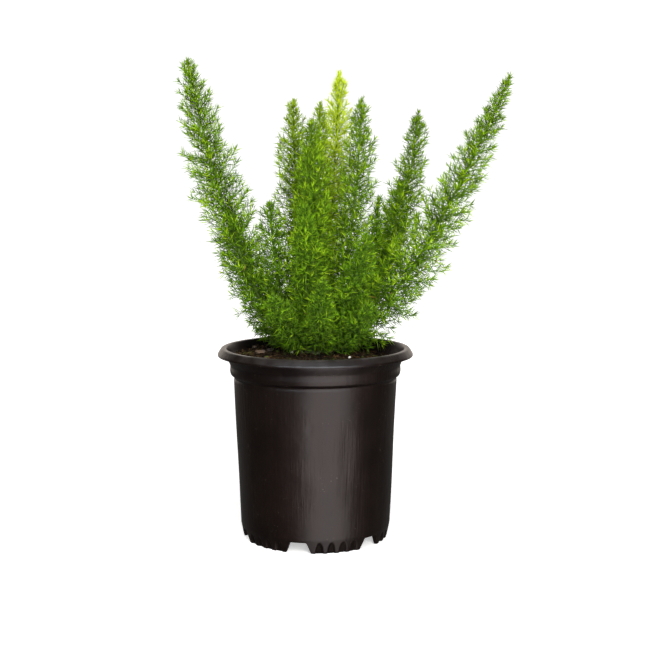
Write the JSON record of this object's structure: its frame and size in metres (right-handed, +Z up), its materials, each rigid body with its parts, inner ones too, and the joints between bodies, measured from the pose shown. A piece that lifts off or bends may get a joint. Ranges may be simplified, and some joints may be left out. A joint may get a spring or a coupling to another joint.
{
  "type": "potted foxtail fern",
  "caption": "Young foxtail fern: upright tapering plumes of fine needles rising from a crown in potting mix, in a round black nursery pot with a folded lip and notched feet.",
  "frame": {"origin": "middle of the bottom of the whole plant's box, on the surface that the pot stands on; the pot's axis stands 24.5 mm to -X and 4.8 mm to -Y of it", "axes": "+Z up along the pot's axis, -Y to the front of the plant, +X towards its longest leaning frond"},
  "size_m": [0.2748, 0.1746, 0.401],
  "materials": {
    "pot_plastic": "thin black-brown moulded plastic, satin, slightly dusty",
    "potting_mix": "dark peat and bark mix with mossy bits",
    "woody_crown": "rough, dull",
    "green_stem": "smooth, slightly waxy",
    "foliage": "fine needles, soft satin, yellow-green to deep green",
    "perlite": "white, porous, matt",
    "bark": "dull brown bark chips"
  },
  "bodies": {
    "root": {"pot": "pot_plastic", "soil": "potting_mix", "crown": "woody_crown", "frond_01_stem": "green_stem", "frond_01_foliage": "foliage", "frond_02_stem": "green_stem", "frond_02_foliage": "foliage", "frond_03_stem": "green_stem", "frond_03_foliage": "foliage", "frond_04_stem": "green_stem", "frond_04_foliage": "foliage", "frond_05_stem": "green_stem", "frond_05_foliage": "foliage", "frond_06_stem": "green_stem", "frond_06_foliage": "foliage", "frond_07_stem": "green_stem", "frond_07_foliage": "foliage", "frond_08_stem": "green_stem", "frond_08_foliage": "foliage", "frond_09_stem": "green_stem", "frond_09_foliage": "foliage", "frond_10_stem": "green_stem", "frond_10_foliage": "foliage", "frond_11_stem": "green_stem", "frond_11_foliage": "foliage", "frond_12_stem": "green_stem", "frond_12_foliage": "foliage", "frond_13_stem": "green_stem", "frond_13_foliage": "foliage", "frond_14_stem": "green_stem", "frond_14_foliage": "foliage", "frond_15_stem": "green_stem", "frond_15_foliage": "foliage", "frond_16_stem": "green_stem", "frond_16_foliage": "foliage", "frond_17_stem": "green_stem", "frond_17_foliage": "foliage", "frond_18_stem": "green_stem", "frond_18_foliage": "foliage", "frond_19_stem": "green_stem", "frond_19_foliage": "foliage", "frond_20_stem": "green_stem", "frond_20_foliage": "foliage", "perlite_1": "perlite", "perlite_2": "perlite", "perlite_3": "perlite", "perlite_4": "perlite", "perlite_5": "perlite", "perlite_6": "perlite", "bark_chip_1": "bark", "bark_chip_2": "bark", "bark_chip_3": "bark", "bark_chip_4": "bark", "bark_chip_5": "bark", "bark_chip_6": "bark"}
  },
  "joints": []
}
